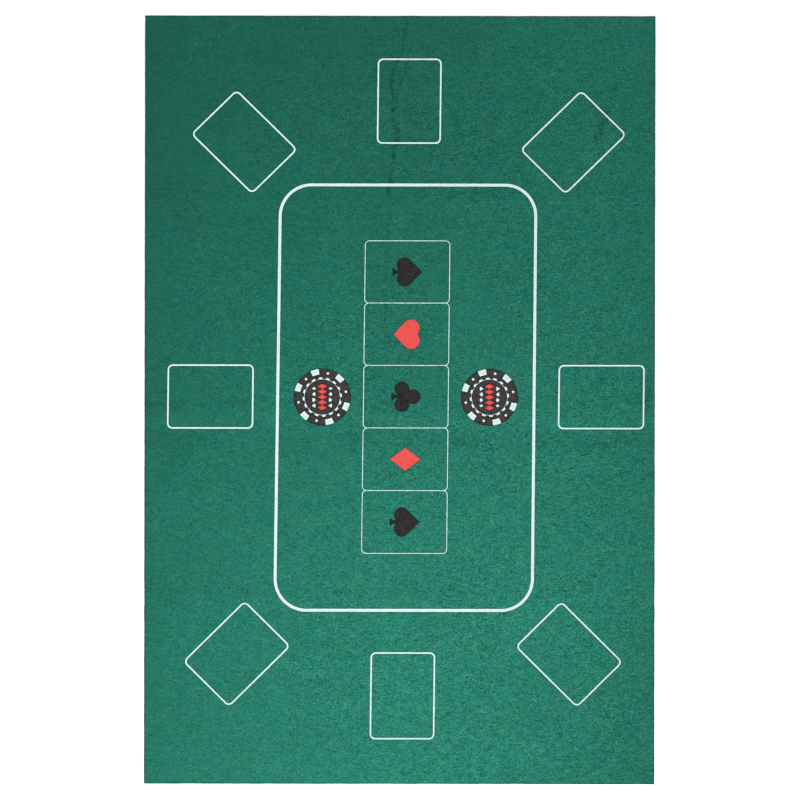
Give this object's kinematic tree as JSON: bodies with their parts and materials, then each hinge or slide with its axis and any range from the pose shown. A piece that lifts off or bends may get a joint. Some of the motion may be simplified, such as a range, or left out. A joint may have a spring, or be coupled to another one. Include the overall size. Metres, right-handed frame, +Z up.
{
  "type": "folding poker mat",
  "caption": "Rectangular felt mat for a card table, printed with seat boxes, a betting line and a row of board boxes, that folds flat along its creases.",
  "frame": {"origin": "on the table under the middle of the open mat", "axes": "+X across the mat, +Y along it, +Z up out of the printed face"},
  "size_m": [0.6, 0.903, 0.0011],
  "materials": {
    "felt": "needle-punched wool-look felt, green, matte",
    "white_ink": "screen-printed ink, white, matte",
    "black_ink": "screen-printed ink, black, matte",
    "red_ink": "screen-printed ink, red, matte"
  },
  "bodies": {
    "panel_1_right": {"betting_line_panel_1_right": "white_ink", "corner_seat_box_panel_1_right": "white_ink", "end_seat_box_panel_1_right": "white_ink", "felt_panel_1_right": "felt"},
    "crease_12_right": {"betting_line_crease_12_right": "white_ink", "felt_crease_12_right": "felt"},
    "panel_2_right": {"betting_line_panel_2_right": "white_ink", "black_print_panel_2_right": "black_ink", "board_boxes_panel_2_right": "white_ink", "chip_marks_panel_2_right": "white_ink", "felt_panel_2_right": "felt", "red_print_panel_2_right": "red_ink", "side_seat_box_panel_2_right": "white_ink"},
    "crease_23_right": {"black_print_crease_23_right": "black_ink", "felt_crease_23_right": "felt", "red_print_crease_23_right": "red_ink", "white_print_crease_23_right": "white_ink"},
    "panel_3_right": {"betting_line_panel_3_right": "white_ink", "black_print_panel_3_right": "black_ink", "board_boxes_panel_3_right": "white_ink", "chip_marks_panel_3_right": "white_ink", "felt_panel_3_right": "felt", "red_print_panel_3_right": "red_ink", "side_seat_box_panel_3_right": "white_ink"},
    "crease_34_right": {"betting_line_crease_34_right": "white_ink", "felt_crease_34_right": "felt"},
    "panel_4_right": {"betting_line_panel_4_right": "white_ink", "corner_seat_box_panel_4_right": "white_ink", "end_seat_box_panel_4_right": "white_ink", "felt_panel_4_right": "felt"},
    "panel_1_left": {"betting_line_panel_1_left": "white_ink", "corner_seat_box_panel_1_left": "white_ink", "end_seat_box_panel_1_left": "white_ink", "felt_panel_1_left": "felt"},
    "crease_12_left": {"betting_line_crease_12_left": "white_ink", "felt_crease_12_left": "felt"},
    "panel_2_left": {"betting_line_panel_2_left": "white_ink", "black_print_panel_2_left": "black_ink", "board_boxes_panel_2_left": "white_ink", "chip_marks_panel_2_left": "white_ink", "felt_panel_2_left": "felt", "red_print_panel_2_left": "red_ink", "side_seat_box_panel_2_left": "white_ink"},
    "crease_23_left": {"black_print_crease_23_left": "black_ink", "felt_crease_23_left": "felt", "red_print_crease_23_left": "red_ink", "white_print_crease_23_left": "white_ink"},
    "panel_3_left": {"betting_line_panel_3_left": "white_ink", "black_print_panel_3_left": "black_ink", "board_boxes_panel_3_left": "white_ink", "chip_marks_panel_3_left": "white_ink", "felt_panel_3_left": "felt", "red_print_panel_3_left": "red_ink", "side_seat_box_panel_3_left": "white_ink"},
    "crease_34_left": {"betting_line_crease_34_left": "white_ink", "felt_crease_34_left": "felt"},
    "panel_4_left": {"betting_line_panel_4_left": "white_ink", "corner_seat_box_panel_4_left": "white_ink", "end_seat_box_panel_4_left": "white_ink", "felt_panel_4_left": "felt"}
  },
  "joints": [
    {"name": "long_fold", "type": "hinge", "parent": "panel_2_right", "child": "panel_2_left", "pos_m": [0, 0.1153, 0.00115], "axis": [0, 1, 0], "range_deg": [0, 180]},
    {"name": "far_quarter_fold", "type": "hinge", "parent": "panel_2_right", "child": "crease_12_right", "pos_m": [0.15, 0.2273, 0.001], "axis": [1, 0, 0], "range_deg": [0, 90]},
    {"name": "far_quarter_fold_outer", "type": "hinge", "parent": "crease_12_right", "child": "panel_1_right", "pos_m": [0.15, 0.2302, 0.001], "axis": [1, 0, 0], "range_deg": [0, 90]},
    {"name": "middle_fold", "type": "hinge", "parent": "panel_2_right", "child": "crease_23_right", "pos_m": [0.15, 0.00405, 0.001], "axis": [-1, 0, 0], "range_deg": [0, 90]},
    {"name": "middle_fold_outer", "type": "hinge", "parent": "crease_23_right", "child": "panel_3_right", "pos_m": [0.15, -0.00405, 0.001], "axis": [-1, 0, 0], "range_deg": [0, 90]},
    {"name": "near_quarter_fold", "type": "hinge", "parent": "panel_3_right", "child": "crease_34_right", "pos_m": [0.15, -0.2273, 0.001], "axis": [-1, 0, 0], "range_deg": [0, 90]},
    {"name": "near_quarter_fold_outer", "type": "hinge", "parent": "crease_34_right", "child": "panel_4_right", "pos_m": [0.15, -0.2302, 0.001], "axis": [-1, 0, 0], "range_deg": [0, 90]},
    {"name": "long_fold_panel_1", "type": "hinge", "parent": "panel_1_right", "child": "panel_1_left", "pos_m": [0, 0.34, 0.00115], "axis": [0, 1, 0], "range_deg": [0, 180]},
    {"name": "long_fold_crease_12", "type": "hinge", "parent": "crease_12_right", "child": "crease_12_left", "pos_m": [0, 0.22875, 0.00115], "axis": [0, 1, 0], "range_deg": [0, 180]},
    {"name": "long_fold_crease_23", "type": "hinge", "parent": "crease_23_right", "child": "crease_23_left", "pos_m": [0, 0, 0.00115], "axis": [0, 1, 0], "range_deg": [0, 180]},
    {"name": "long_fold_panel_3", "type": "hinge", "parent": "panel_3_right", "child": "panel_3_left", "pos_m": [0, -0.1153, 0.00115], "axis": [0, 1, 0], "range_deg": [0, 180]},
    {"name": "long_fold_crease_34", "type": "hinge", "parent": "crease_34_right", "child": "crease_34_left", "pos_m": [0, -0.22875, 0.00115], "axis": [0, 1, 0], "range_deg": [0, 180]},
    {"name": "long_fold_panel_4", "type": "hinge", "parent": "panel_4_right", "child": "panel_4_left", "pos_m": [0, -0.34, 0.00115], "axis": [0, 1, 0], "range_deg": [0, 180]}
  ],
  "couplings": [
    {"joint": "far_quarter_fold_outer", "follows": "far_quarter_fold", "ratio": 1},
    {"joint": "middle_fold_outer", "follows": "middle_fold", "ratio": 1},
    {"joint": "near_quarter_fold_outer", "follows": "near_quarter_fold", "ratio": 1},
    {"joint": "long_fold_panel_1", "follows": "long_fold", "ratio": 1},
    {"joint": "long_fold_crease_12", "follows": "long_fold", "ratio": 1},
    {"joint": "long_fold_crease_23", "follows": "long_fold", "ratio": 1},
    {"joint": "long_fold_panel_3", "follows": "long_fold", "ratio": 1},
    {"joint": "long_fold_crease_34", "follows": "long_fold", "ratio": 1},
    {"joint": "long_fold_panel_4", "follows": "long_fold", "ratio": 1}
  ]
}
